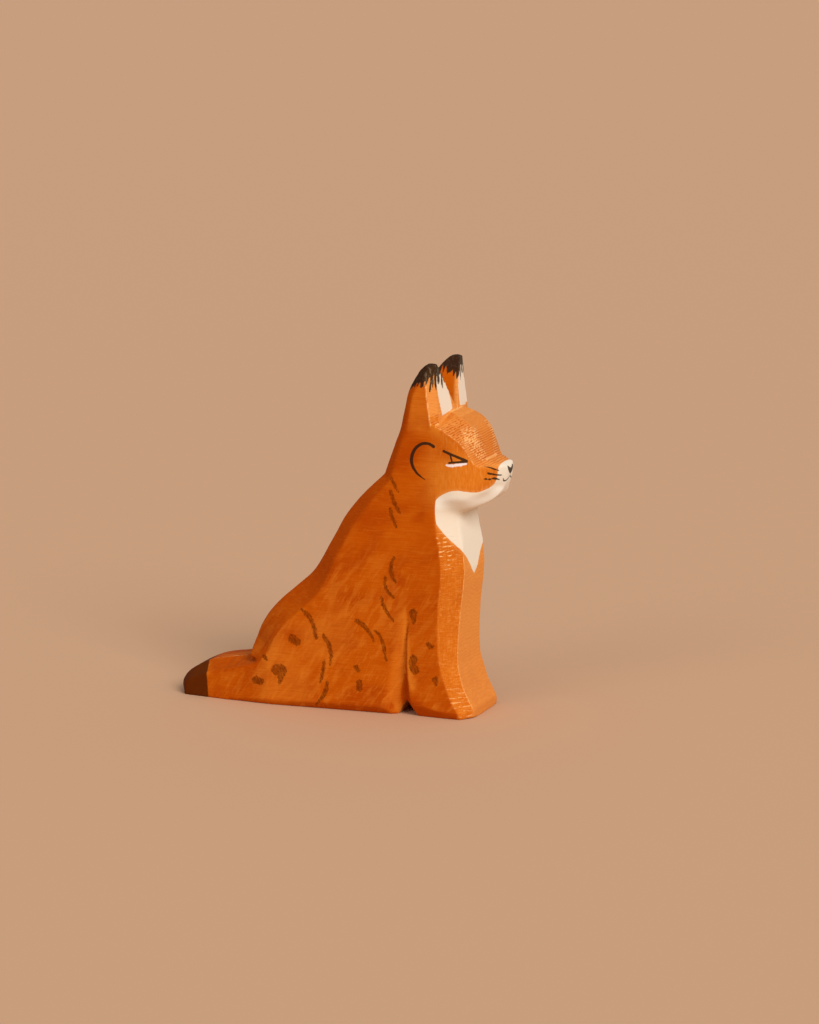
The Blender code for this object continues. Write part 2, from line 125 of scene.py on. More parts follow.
class PaintSettings(bpy.types.PropertyGroup):
    """Colours of the brushwork."""

    cream: colour("Cream", "Muzzle, jaw, chest and inner ears", (0.79, 0.672, 0.525))
    # Cream painted lighter in the throat's shadow and on cuts that face forwards: painted light
    cream_painted_light: colour("Thick cream", "Where the cream is thickest, in the throat", (0.93, 0.86, 0.74))
    black: colour("Black", "Ear tips and the lines of the face", (0.023, 0.0140, 0.0078))
    # Grey in the black, partly a dry brush and partly a painted sheen
    dry_black_and_painted_sheen: colour("Dry black", "Where the black brush ran dry", (0.17, 0.135, 0.09))
    tail: colour("Tail tip", "Dark brown end of the tail", (0.090, 0.017, 0.002))
    mark: colour("Coat marks", "Brown spots and dashes of the coat", (0.160, 0.026, 0.0010))
    eye_white: colour("Eye white", "The stroke under each eye", (0.86, 0.76, 0.74))


class StageSettings(bpy.types.PropertyGroup):
    """The floor and the light. A light's strength is what it would add to white that faces it squarely."""

    floor: colour("Floor", "Plain pale floor", (0.60, 0.347, 0.198))
    world: number("World light", "Strength of the even light", 0.45, min=0)
    key: number("Key light", "Strength of the soft light at the front right", 0.76, min=0)
    fill: number("Fill light", "Strength of the soft light at the front left", 0.12, min=0)


# Brushwork, as points of the side view. Each line is (half widths along it, points).
EAR_ARC = [
    ((1.7, 1.5, 1.5, 1.5, 1.6, 1.7, 1.6, 1.3, 0.9, 0.3),
     (433.6, 446.6), (429.3, 444.0), (424.6, 443.4), (419.6, 444.9), (414.9, 449.2),
     (411.9, 456.0), (411.8, 463.4), (414.6, 470.0), (419.0, 475.2), (425.0, 479.8)),
]
EYE = [
    ((1.3, 1.3, 1.4, 1.6), (443.7, 451.2), (452, 455), (460, 458.3), (466.5, 461.2)),
    ((1.0, 1.1, 1.4), (449, 463), (457, 462.4), (466.3, 461.6)),
    ((0.9, 0.9), (450.3, 455), (452, 462.5)),
]
EYE_WHITE = [
    ((0.7, 1.3, 1.5, 1.5, 1.2), (446, 465.3), (450, 466), (455.5, 465.4), (461, 464.6), (465.8, 463.8)),
]
WHISKERS = [
    ((0.2, 0.6, 0.8, 0.5), (484.5, 466.6), (489.5, 467.5), (494, 469), (498.8, 470.6)),
    ((1.1, 0.9, 0.7, 0.6), (488.3, 473.4), (494, 474.4), (498, 475), (501.4, 475)),
    ((0.3, 0.9, 0.7), (483.5, 479.2), (485.6, 479), (487, 479.3)),
    ((0.5, 1.1, 0.5), (488.2, 479.3), (489.8, 479.4), (491.3, 479)),
    ((0.6, 1.3, 0.9, 0.5), (492.3, 478.7), (494.6, 478.5), (497, 478.9), (499.3, 479.6)),
]
# The nose and half of the mouth as seen from the front, in mm across from the middle and above the base
NOSE = [
    (-1.0, 69.55), (0.0, 69.6), (0.7, 69.85), (1.3, 70.2), (1.9, 70.45), (2.2, 70.15),
    (2.05, 69.5), (1.6, 68.9), (1.05, 68.4), (0.5, 68.05), (-1.0, 67.95),
]
MOUTH = [
    ((0.20, 0.14, 0.14), (0.0, 68.2), (0.0, 67.8), (0.0, 67.35)),
    ((0.14, 0.16, 0.20, 0.22, 0.12), (0.0, 67.35), (1.2, 66.75), (2.5, 66.35), (3.25, 66.5), (3.65, 67.15)),
]
# The brown of the tail starts at this x at the base, in mm, and a share of the height further back. On the
# bevel, from this height up to that much above it, it goes further back by a larger share.
TAIL_TIP_START = -37.9
TAIL_TIP_LEAN = 0.08
TAIL_BEVEL_LEAN = 0.65
TAIL_BEVEL_FOOT = 7.3
TAIL_BEVEL_RISE = 2.4
DASHES = [
    ((1.4, 1.8, 1.6, 0.95), (391, 478), (394, 484), (396, 488), (398.5, 492)),
    ((1.4, 2.1, 1.8, 1.6), (390.3, 490), (392.5, 498), (396, 506), (399.3, 512.5)),
    ((1.6, 2.1, 1.9, 1.4), (390, 508.5), (391.5, 515), (394, 521), (396.3, 526.5)),
    ((1.6, 2.1, 2.4, 2.1, 1.2), (393.7, 558.5), (391.2, 565), (391.2, 571.5), (393, 578), (396.3, 583)),
    ((1.6, 1.9, 1.8, 1.4), (385.5, 577), (385, 584), (387.5, 591.5), (394, 597.5)),
    ((1.4, 2.1, 1.9, 1.4), (381.5, 597.5), (383.5, 605), (387.5, 613), (393.5, 620.8)),
    ((2.2, 2.5, 1.9, 1.4), (356.5, 621), (362.5, 624.5), (369, 632), (374, 641)),
    ((1.6, 1.9, 1.9, 1.4), (375.3, 631), (380.3, 636.5), (383.6, 646), (385.7, 660.5)),
    ((1.4, 2.4, 2.2, 1.8), (301.5, 609.5), (307.5, 614.5), (313, 624), (316.3, 638)),
    ((1.6, 2.2, 2.1, 1.4), (323.5, 635), (328, 643), (331, 653), (329.7, 665)),
    ((1.2, 1.9, 1.8, 1.2), (324, 660), (323.5, 668), (321.8, 676), (320.3, 682.5)),
    ((1.6, 2.5, 2.2, 1.4), (327.3, 681.5), (326, 690), (321.5, 698), (316.5, 704)),
]
SPOTS = [
    ((4.6, 3.8), (292.5, 638.5), (297.5, 642.3)),
    ((6.0, 5.5, 1.4), (277, 669.5), (281.5, 671), (279.5, 684)),
    ((4.2, 3.4), (256, 680), (261, 681.8)),
    ((2.4, 1.2), (264.5, 656.8), (267, 660)),
    ((2.9, 2.2), (356.2, 667.4), (358.2, 670.4)),
    ((3.2, 3.2), (359, 682.5), (359.3, 688.5)),
    ((4.2, 1.2), (413.3, 613), (413.8, 623.5)),
    ((2.2, 2.8), (428, 644), (431, 647)),
    ((4.2, 3.6, 4.6), (413.5, 659), (412, 665), (414.8, 670)),
    ((3.2, 1.0), (435.3, 679.5), (436.3, 685.8)),
]
CREAM_EDGE = [
    (530, 452), (514, 457.3), (508.5, 459), (503.5, 461.8), (499.5, 465.5), (498, 470), (497.4, 476),
    (495.5, 482), (491, 486.8), (484, 490.4), (475.5, 492.6), (465, 491.8), (456, 490.8), (447.5, 492.5),
    (440, 496.2), (435.3, 501), (432.8, 508), (433.8, 517), (437.2, 525.5), (444.5, 534.5), (452.5, 542.5),
    (460.8, 549.8), (465.8, 556), (470, 563.5), (476, 574.5), (500, 590), (560, 590), (560, 452),
]
# Soft shades, partly the stain's own tone and partly painted light and shade: how much paler, or deeper
# below zero, how far it fades, and an outline
SHADES = [
    # Cheek, and behind it
    (1.0, 16, (452, 462), (492, 466), (490, 480), (474, 489), (444, 490), (440, 474)),
    (0.55, 13, (432, 448), (446, 470), (444, 492), (434, 512), (427, 500), (426, 470)),
    # Below the brow
    (0.60, 7, (434, 428), (444, 434), (456, 444), (466, 456),
     (474, 468), (464, 464), (452, 452), (440, 440)),
    # Back of the ear, its foot, painted lighter over the shade in its fold, and the V beside it
    (0.60, 9, (408, 396), (421, 388), (427, 410), (425, 432), (412, 428)),
    (1.20, 3, (430, 411), (438, 412), (445, 417), (447, 423), (438, 431), (431, 428)),
    (0.45, 5, (444, 380), (447, 392), (452, 408), (457, 408), (450, 390)),
    # The haunch, in front along the groove, in the middle, and towards the tail
    (0.50, 5, (403, 608), (405, 630), (404, 660), (399, 700),
     (398, 712), (388, 712), (390, 690), (395, 650)),
    (0.35, 10, (300, 628), (345, 606), (352, 640), (330, 660), (306, 655)),
    (0.40, 9, (252, 655), (280, 640), (300, 664), (312, 700), (262, 700)),
    # The shoulder and foreleg, the foreleg's edge painted lighter against the groove's shade, and painted
    # shade on the foot's bevel
    (-0.30, 9, (433, 508), (441, 545), (444, 580), (441, 625), (452, 690),
     (420, 700), (408, 640), (407, 600), (418, 560)),
    (1.0, 4, (405.5, 612), (408, 640), (411, 672), (414, 690), (408, 700), (404, 690), (404, 650)),
    (-1.30, 1.6, (405, 674), (408, 684), (412.5, 695), (423, 706.5), (435, 711.5),
     (456.5, 713.5), (456, 722), (404, 718), (402, 690)),
    # Painted shade on the tail's bevel and on the bevel along the base
    (-0.90, 6, (212, 660), (232, 657), (256, 657), (262, 664), (240, 668), (214, 672)),
    (-0.60, 1.8, (225, 701), (259, 704.5), (314, 706.8), (348, 706.5),
     (372, 705), (392, 703), (399, 718), (225, 714)),
    # The brow below the ear, painted lighter over its shade, the top of the muzzle, and the rump's chamfer
    (0.60, 5, (444, 420), (451, 411), (458, 415), (460, 424), (450, 428)),
    (0.80, 3, (490, 458), (499, 454), (508, 459), (507, 464), (497, 463)),
    (0.40, 10, (255, 650), (262, 625), (285, 605), (300, 608), (275, 640), (262, 660)),
]
# Where the brow is most speckled: beside the forehead and down to the muzzle
SPECKLED = [
    (474, 427), (480, 436), (483, 446), (487, 458.5), (481, 460.5), (471, 451), (463, 442), (463, 431),
]
# Middle of the throat's shadow, where the cream is painted lighter as painted light
THROAT_LINE = [(440, 503), (452, 502), (466, 503), (480, 503), (490, 500), (500, 491)]
# The pale crease where the brow meets the muzzle, and its half width in mm
CREASE = [(486.5, 459.2), (491, 456.8), (497, 454.4), (501, 453.2)]
CREASE_HALF_WIDTH = 0.25
# Edges that sanding wore pale: half width in mm, and a line that runs along the edge
WORN_EDGES = [
    (0.20, (424.6, 376), (427.5, 400), (430, 426)),
    (0.16, (437, 424.8), (438.4, 423.6), (450.6, 410.7), (458, 407.5)),
    (0.12, (433, 425.5), (442.4, 430), (454.9, 439.3), (462.7, 446.4), (467, 452.9), (473, 463.3)),
    (0.11, (464.7, 558), (464.7, 571.4), (461.6, 598.6), (458.1, 648.6),
     (458.1, 665.7), (463.4, 688.6), (469.1, 700), (474.5, 710)),
    (0.10, (211, 658.5), (225, 657), (250, 655.6)),
]
# How many units from such a line an edge may lie, and the least angle between its two cuts
WORN_REACH = 2.6
LEAST_ANGLE = math.radians(8)
EAR_WHITE = [
    (437.0, 366), (436.3, 383), (438, 395), (440, 405), (442.4, 415.6),
    (452.6, 408.6), (449.6, 395), (446.6, 384), (444.5, 376), (443, 366),
]
# On the left ear the white is wider by this much
EAR_WHITE_EXTRA = 4
EAR_BLACK = [
    (395, 404), (407.5, 391.5), (413, 386.6), (416.5, 383.5), (419, 383.0), (422, 382.2),
    (424.6, 382.4), (426.4, 380.2), (428.4, 378.6), (430.4, 377.6), (432.4, 376.6), (434.4, 375.2),
    (436.6, 376.4), (438.8, 375.2), (440.6, 373.6), (442.2, 375.2), (444.6, 377.6), (452, 382),
    (470, 340), (395, 340),
]
EAR_STROKES = [
    ((1.1, 0.9, 0.4), (418.6, 376.4), (416.8, 381.5), (414.3, 387.0)),
    ((1.2, 1.0, 0.5), (420.7, 378), (419.2, 382), (417.2, 386.0)),
    ((1.4, 1.6, 1.1), (422.6, 380), (421.8, 384.6), (421.0, 387.0)),
    ((1.3, 1.2, 0.5), (427.6, 378.6), (426.4, 382.4), (425.2, 386.2)),
    ((1.2, 1.1, 0.9, 0.7), (431.4, 377), (430.7, 383), (430.2, 387), (429.7, 391.6)),
    ((1.1, 1.1, 0.3), (432.1, 376), (432.4, 382), (432.8, 387.6)),
    ((1.2, 1.2, 0.9, 0.3), (435.2, 376), (435.3, 381), (435.6, 386), (436.0, 390.0)),
    ((1.1, 1.2, 0.8), (437.9, 375), (438.3, 380), (438.3, 383.4)),
    ((0.9, 0.9, 0.7, 0.2), (441.2, 374), (441.6, 379), (441.9, 384.3), (442.6, 388.0)),
    ((0.9, 0.9, 0.4), (443.0, 375), (443.8, 378.5), (444.5, 382.2)),
]
# Where the side view can't show it, the black ends in a fringe: height of its points and their depth in mm,
# their spacing along the ear's side and across its back, and the units of distance in each mm of height
FRINGE_TOP = 95.6
FRINGE_DEPTH = 2.6
FRINGE_SPACING = (1.55, 1.7)
FRINGE_SHARPNESS = 2.2

# Places that are sanded rounder: (x, |y|, z) and reach, both in mm, and how often
SANDED = [
    ((42.0, 11.0, 1.5), 5.0, 16),
    ((-48.6, 3.0, 1.0), 4.5, 10),
    ((36.0, 9.0, 57.5), 11.0, 60),
    ((48.0, 2.5, 68.0), 5.0, 10),
]
# Edges that are sanded rounder: reach in units of the side view, how often, and a line along the edge
SANDED_EDGES = [
    (7, 14, (404, 452), (389, 481), (372, 500), (350, 530), (338, 555),
     (322, 588), (304, 608), (286, 625), (272, 642), (262, 655)),
    (6, 14, (401, 448), (403.4, 425), (407, 405), (412.9, 388), (418, 378)),
    (5, 8, (211, 671), (235, 667), (258, 662)),
    (5, 10, (410, 612), (400, 640), (391, 680), (386, 706)),
    (4, 3, (240, 700), (300, 705), (380, 711)),
    (4, 3, (412, 705), (440, 712), (462, 717)),
]
RIGHT_EAR_RISE = 0.35 * MM
# The left ear is cut off flat, at this height above the place where x is this, and rising this much with x
LEFT_EAR_TOP = (98.35, 28.3, 0.12)
# The grid is thinned out to a share of its points where a side or the base is this flat, and at least this
# many units away from paint
FLAT = 0.9995
PAINT_MARGIN = 3.5
PLAIN_SHARE = 0.03
# The grid is finer this many units around fine brushwork, and with fewer points than this it has failed
FINE_REACH = 1.6
LEAST_POINTS = 10000
# Units that a distance gains where paint is kept out of a region, or off a side that the brush didn't reach
FAR_OFF = 30
OFF_SIDE = 12

# Spacing in mm of the rings in the end grain, the scratches of the chamfer and the ripples of the brow
RING_SPACING = 1.05
SCRATCH_SPACING = 1.25
RIPPLE_SPACING = 0.72
# Depth of the fine relief, radius of the floor in metres, and the angle that a light fills
RELIEF = 0.2 * MM
FLOOR_RADIUS = 4.0
LIGHT_WIDTH = math.radians(28)


def smooth_line(points, steps=6):
    """A curve through the points, with each tangent set by its two neighbours (Catmull-Rom)."""
    points = np.asarray(points, float)
    p = np.vstack([2 * points[0] - points[1], points, 2 * points[-1] - points[-2]])
    t = (np.arange(steps) / steps)[:, None]
    spans = [
        b + 0.5 * t * (c - a + t * (2 * a - 5 * b + 4 * c - d + t * (3 * (b - c) + d - a)))
        for a, b, c, d in zip(p, p[1:], p[2:], p[3:])
    ]
    return np.vstack(spans + [points[-1:]])


def in_side_view(points):
    """Where points of the wood lie in the side view: a perspective picture, with y taken as -|y|."""
    right = np.array([math.cos(VIEW_AZIMUTH), math.sin(VIEW_AZIMUTH), 0.0])
    up = np.cross(VIEW_BACK, right)
    near = points * (1, 0, 1) - np.abs(points) * (0, 1, 0) - VIEW_PLACE
    depth = -near @ VIEW_BACK
    u = VIEW_CENTRE[0] + VIEW_SCALE * (near @ right) / depth
    v = VIEW_CENTRE[1] - VIEW_SCALE * (near @ up) / depth
    return np.stack([u, v], axis=1)


def facing_side_view(points, normals):
    """How squarely each point faces the side view, from 1 through 0 at its outline to -1."""
    flip = np.where(points[:, 1] > 0, -1.0, 1.0)
    return normals[:, 0] * VIEW_BACK[0] + normals[:, 1] * flip * VIEW_BACK[1] + normals[:, 2] * VIEW_BACK[2]


def distance_to_line(points, line, half_widths):
    """Distance to a brush line, less its half width there: the least over the line's straight spans."""
    best = np.full(len(points), np.inf)
    for a, b, wide_a, wide_b in zip(line, line[1:], half_widths, half_widths[1:]):
        run = b - a
        t = np.clip((points - a) @ run / max(run @ run, 1e-12), 0, 1)
        gap = np.linalg.norm(points - a - t[:, None] * run, axis=1) - (wide_a + (wide_b - wide_a) * t)
        best = np.minimum(best, gap)
    return best


def distance_to_path(points, path):
    """Distance to a line of no width through the points of a path."""
    path = np.array(path, float)
    return distance_to_line(points, path, np.zeros(len(path)))


def distance_to_area(points, outline):
    """Distance to a closed outline, below zero inside it.

    A point is inside where a ray that starts at it crosses the outline an odd number of times.
    """
    closed = np.vstack([outline, outline[:1]]).astype(float)
    inside = np.zeros(len(points), bool)
    for (ax, ay), (bx, by) in zip(closed, closed[1:]):
        straddles = (ay > points[:, 1]) != (by > points[:, 1])
        with np.errstate(divide="ignore", invalid="ignore"):
            crossing = ax + (points[:, 1] - ay) * (bx - ax) / (by - ay)
        inside ^= straddles & (points[:, 0] < crossing)
    return np.where(inside, -1, 1) * distance_to_path(points, closed)


def brush_lines(points, lines):
    """Distance to the nearest of some brush lines, less its half width there. Each runs smoothly."""
    best = np.full(len(points), np.inf)
    for half_widths, *through in lines:
        line = smooth_line(through)
        share = np.linspace(0, 1, len(line))
        wide = np.interp(share, np.linspace(0, 1, len(half_widths)), half_widths)
        best = np.minimum(best, distance_to_line(points, line, wide))
    return best


def step(low, high, value):
    """0 at low and 1 at high, level at both and smooth between. Low may be the larger of the two."""
    t = np.clip((value - low) / (high - low), 0, 1)
    return t * t * (3 - 2 * t)


def read(items, key, width, kind):
    """An array with one row of this width for each item of a mesh."""
    values = np.empty(len(items) * width, kind)
    items.foreach_get(key, values)
    return values.reshape(-1, width)


def mesh_edges(mesh):
    return read(mesh.edges, "vertices", 2, np.int32)


def mesh_points(mesh):
    return read(mesh.vertices, "co", 3, np.float32).astype(float)


def mesh_normals(mesh):
    return read(mesh.vertices, "normal", 3, np.float32).astype(float)


def mean_of_neighbours(values, edges):
    """Mean of each vertex's neighbours along the edges, one column of values at a time."""
    count = len(values)
    ends = np.concatenate([edges[:, 0], edges[:, 1]])
    others = np.concatenate([edges[:, 1], edges[:, 0]])
    number_of = np.maximum(np.bincount(ends, minlength=count), 1)
    columns = [np.bincount(ends, weights=column[others], minlength=count) / number_of for column in values.T]
    return np.stack(columns, axis=1)


def put_points(mesh, points):
    mesh.vertices.foreach_set("co", points.astype(np.float32).ravel())
    mesh.update()


def put_attribute(mesh, name, values):
    layer = mesh.attributes.new(name, "FLOAT", "POINT")
    layer.data.foreach_set("value", np.ascontiguousarray(values, np.float32))


def evaluated_mesh(obj, name):
    bpy.context.view_layer.update()
    mesh = bpy.data.meshes.new_from_object(obj.evaluated_get(bpy.context.evaluated_depsgraph_get()))
    mesh.name = name
    return mesh


def solid_mesh(node):
    """A copy of a solid of the frame, with the corners of its loose triangles joined."""
    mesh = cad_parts[node].data.copy()
    joined = bmesh.new()
    joined.from_mesh(mesh)
    bmesh.ops.remove_doubles(joined, verts=joined.verts, dist=1e-6)
    joined.to_mesh(mesh)
    joined.free()
    mesh.materials.clear()
    return mesh


def object_of(name, mesh):
    made = bpy.data.objects.new(name, mesh)
    bpy.context.scene.collection.objects.link(made)
    return made


def worn_edge_ends(mesh):
    """Both ends of each edge that lies along one of WORN_EDGES, and its half width of wear in mm."""
    cuts = bmesh.new()
    cuts.from_mesh(mesh)
    ends = np.array([
        [vert.co[:] for vert in edge.verts] for edge in cuts.edges
        if len(edge.link_faces) == 2 and edge.calc_face_angle() > LEAST_ANGLE
    ])
    cuts.free()
    along_edge = [in_side_view(ends[:, 0]), in_side_view(ends.mean(axis=1)), in_side_view(ends[:, 1])]
    half_widths = np.zeros(len(ends))
    for half_width, *through in WORN_EDGES:
        gap = np.maximum.reduce([distance_to_path(places, through) for places in along_edge])
        half_widths[gap < WORN_REACH] = half_width
    kept = half_widths > 0
    return ends[kept], half_widths[kept]


def even_surface(solid, grid):
    """The solid's surface on an even grid of squares, each corner drawn back onto the solid."""
    target = object_of("solid_copy", solid)
    made = object_of("even_copy", solid.copy())
    squares = made.modifiers.new("squares", "REMESH")
    squares.mode = "VOXEL"
    squares.voxel_size = grid
    drawn = made.modifiers.new("drawn", "SHRINKWRAP")
    drawn.target = target
    drawn.wrap_method = "NEAREST_SURFACEPOINT"
    mesh = evaluated_mesh(made, "carved_wood")
    bpy.data.objects.remove(made)
    bpy.data.objects.remove(target)
    return mesh


def knife_waves(points):
    """Slow waves along the wood, the mean of three sines of unlike directions, between -1 and 1."""
    x, y, z = (points / MM).T
    slow = np.sin(0.55 * x + 0.21 * z + 1.3 * np.sin(0.11 * z))
    slanting = np.sin(0.47 * z - 0.33 * x + 0.25 * y + 2.1)
    return (slow + slanting + np.sin(0.9 * z + 0.4 * y + 0.7 * np.sin(0.3 * x))) / 3


def near_place(points, place, reach):
    """1 close to a place on either side of the board, falling to 0 at the reach."""
    run = (points * (1, 0, 1) + np.abs(points) * (0, 1, 0)) / MM - place
    return step(reach, 0.4 * reach, np.linalg.norm(run, axis=1))


def sand(points, edges, passes, share):
    """Each pass moves a point towards its neighbours' mean by its own share, so that corners get rounder."""
    for _ in range(passes):
        points = points + share[:, None] * (mean_of_neighbours(points, edges) - points)
    return points


def rounded(points, edges, passes):
    """Points of the softened and sanded wood.

    Each softening pass moves a point half way to its neighbours' mean and most of the way back. That rounds
    the edges without shrinking the whole. Sanding moves points towards the mean alone, near chosen places.
    """
    for move in (0.5, -0.4) * passes:
        points = points + move * (mean_of_neighbours(points, edges) - points)
    for place, reach, times in SANDED:
        points = sand(points, edges, times, 0.5 * near_place(points, place, reach))
    seen = in_side_view(points)
    for reach, times, *through in SANDED_EDGES:
        gap = distance_to_path(seen, through)
        points = sand(points, edges, times, 0.5 * step(reach, 0.3 * reach, gap))
    return points


def soften(mesh, passes, inset, waviness):
    """Rounds the edges, and lays the surface inside the solid with shallow waves and uneven ear tips."""
    points = rounded(mesh_points(mesh), mesh_edges(mesh), passes)
    put_points(mesh, points)
    normals = mesh_normals(mesh)
    # The waves end at the base and are slight on the flat sides
    flat_side = step(0.985, 0.999, np.abs(normals[:, 1]))
    wavy = step(0.0, 1.2 * MM, points[:, 2]) * (1 - 0.8 * flat_side)
    depth = inset - waviness * knife_waves(points) * wavy
    points -= normals * depth[:, None]
    # The base stays where it was, and the ears stay below the top of the solid
    points[:, 2] -= inset * step(3 * MM, 0.0, points[:, 2])
    points[:, 2] += uneven_ears(points)
    points[:, 2] = np.clip(points[:, 2], 0, CAD_BOX[1][2] - inset)
    put_points(mesh, points)


def uneven_ears(points):
    """How much the ear tips move up: the right one a little, and the left one down to a slanting plane."""
    x, y, z = points.T
    rise = RIGHT_EAR_RISE * step(90 * MM, 98.8 * MM, z)
    top, at, slope = LEFT_EAR_TOP
    plane = top * MM + slope * (x - at * MM)
    return np.where(y < 0, rise, np.minimum(plane - z, 0))


def distance_to_edges(points, normals, ends, half_widths):
    """Distance in mm, along the surface, from each point to the nearest worn edge, less its half width.

    The nearest is the least straight distance to an edge's span. What that distance has along the point's
    normal is left out, because the rounded wood lies a little inside the sharp edge.
    """
    best = np.full(len(points), np.inf)
    beside = np.zeros(len(points))
    for (a, b), half_width in zip(ends, half_widths):
        run = b - a
        t = np.clip((points - a) @ run / (run @ run), 0, 1)
        gap = points - a - t[:, None] * run
        length_squared = np.einsum("ij,ij->i", gap, gap)
        along_normal = np.einsum("ij,ij->i", gap, normals)
        closer = length_squared < best
        best = np.where(closer, length_squared, best)
        lateral = np.sqrt(np.maximum(length_squared - along_normal**2, 0)) / MM - half_width
        beside = np.where(closer, lateral, beside)
    return beside


def plain_flats(normals, near):
    """True on the flat sides and base, away from painted outlines, where few points are enough."""
    flat = (np.abs(normals[:, 1]) > FLAT) | (normals[:, 2] < -FLAT)
    return flat & (np.minimum.reduce([np.abs(distance) for distance in near.values()]) > PAINT_MARGIN)


def thin_out(mesh, plain, share):
    """Joins up the grid where it is plain, and leaves that share of its points."""
    made = object_of("thinned_copy", mesh)
    group = made.vertex_groups.new(name="plain")
    group.add(np.flatnonzero(plain).tolist(), 1.0, "REPLACE")
    thinner = made.modifiers.new("thinner", "DECIMATE")
    thinner.ratio = 1 - (1 - share) * float(np.mean(plain))
    thinner.vertex_group = group.name
    thinner.vertex_group_factor = 10.0
    thinned = evaluated_mesh(made, mesh.name)
    bpy.data.objects.remove(made)
    bpy.data.meshes.remove(mesh)
    return thinned


def refine(mesh, wanted):
    """Cuts squares whose corners are all wanted into smaller ones, so that brush lines keep their shape."""
    fine = bmesh.new()
    fine.from_mesh(mesh)
    chosen = set(np.flatnonzero(wanted).tolist())
    faces = [face for face in fine.faces if all(vert.index in chosen for vert in face.verts)]
    edges = list({edge for face in faces for edge in face.edges})
    bmesh.ops.subdivide_edges(fine, edges=edges, cuts=1, use_grid_fill=True)
    bmesh.ops.triangulate(fine, faces=[face for face in fine.faces if len(face.verts) > 4])
    fine.to_mesh(mesh)
    fine.free()
    mesh.update()


def cream_distance(seen, forward, x, z):
    """Muzzle, jaw and bib, but nothing behind the neck, below the bib or on a cut that faces back."""
    facing_back = OFF_SIDE * step(-0.1, -0.3, forward) * step(58, 57, z)
    cream = distance_to_area(seen, smooth_line(CREAM_EDGE, 4))
    return cream + FAR_OFF * step(31.5, 29.0, x) + FAR_OFF * step(36.0, 33.0, z) + facing_back


def ear_white_distance(seen, forward, y, z):
    """The fronts of the ears. The white is wider on the left one."""
    white = distance_to_area(seen, EAR_WHITE)
    wider = np.minimum(white, distance_to_area(seen + (EAR_WHITE_EXTRA, 0), EAR_WHITE))
    white = np.where(y > 0, wider, white)
    return white + FAR_OFF * step(0.75, 0.55, forward) + FAR_OFF * step(84.0, 82.0, z)


def ear_black_distance(seen, facing, forward, x, y, z):
    """The ear tips: the outline and strokes of the side view, and the fringe where that view can't reach."""
    black = np.minimum(distance_to_area(seen, EAR_BLACK), brush_lines(seen, EAR_STROKES))
    black = black + FAR_OFF * step(86.0, 84.0, z)
    across = step(0.3, 0.6, -forward)
    along = x / FRINGE_SPACING[0] + 0.22 * np.sin(1.9 * x)
    run = along + across * (y / FRINGE_SPACING[1] + 0.25 * np.sin(1.3 * y) - along)
    fringe = FRINGE_TOP - FRINGE_DEPTH * np.abs(2 * (run % 1) - 1) - 0.7 * np.sin(1.1 * x + y)
    round_back = step(0.12, -0.02, facing)
    return black + round_back * (FRINGE_SHARPNESS * (fringe - z) - black)


def paint_distances(points, normals):
    """Distance of each point to each painted thing, in units of the side view and below zero inside it."""
    seen = in_side_view(points)
    facing = facing_side_view(points, normals)
    forward = normals[:, 0]
    x, y, z = (points / MM).T
    hidden = OFF_SIDE * step(0.10, -0.08, facing)
    off_side = OFF_SIDE * step(0.62, 0.40, np.abs(normals[:, 1]))
    from_front = np.stack([np.abs(y), z], axis=1)
    behind_nose = FAR_OFF * step(45, 44, x)
    up_bevel = np.clip(z - TAIL_BEVEL_FOOT, 0, TAIL_BEVEL_RISE)
    return {
        "tail_tip": UNITS_AT_TAIL * (x - TAIL_TIP_START + TAIL_TIP_LEAN * z + TAIL_BEVEL_LEAN * up_bevel),
        "cream": cream_distance(seen, forward, x, z),
        "ear_white": ear_white_distance(seen, forward, y, z),
        "ear_black": ear_black_distance(seen, facing, forward, x, y, z),
        "ink": np.minimum.reduce([
            brush_lines(seen, EAR_ARC + EYE) + off_side,
            brush_lines(seen, WHISKERS) + hidden,
            UNITS_AT_NOSE * brush_lines(from_front, MOUTH) + behind_nose,
            UNITS_AT_NOSE * distance_to_area(from_front, NOSE) + behind_nose,
        ]),
        "eye_white": brush_lines(seen, EYE_WHITE) + off_side,
        "coat_marks": brush_lines(seen, DASHES + SPOTS) + hidden,
    }


def stain_tone_and_painted_light(seen):
    """Sum of the soft shades: each is its amount inside its outline, and fades to nothing around it."""
    return sum(
        amount * step(fade, -0.4 * fade, distance_to_area(seen, outline))
        for amount, fade, *outline in SHADES
    )


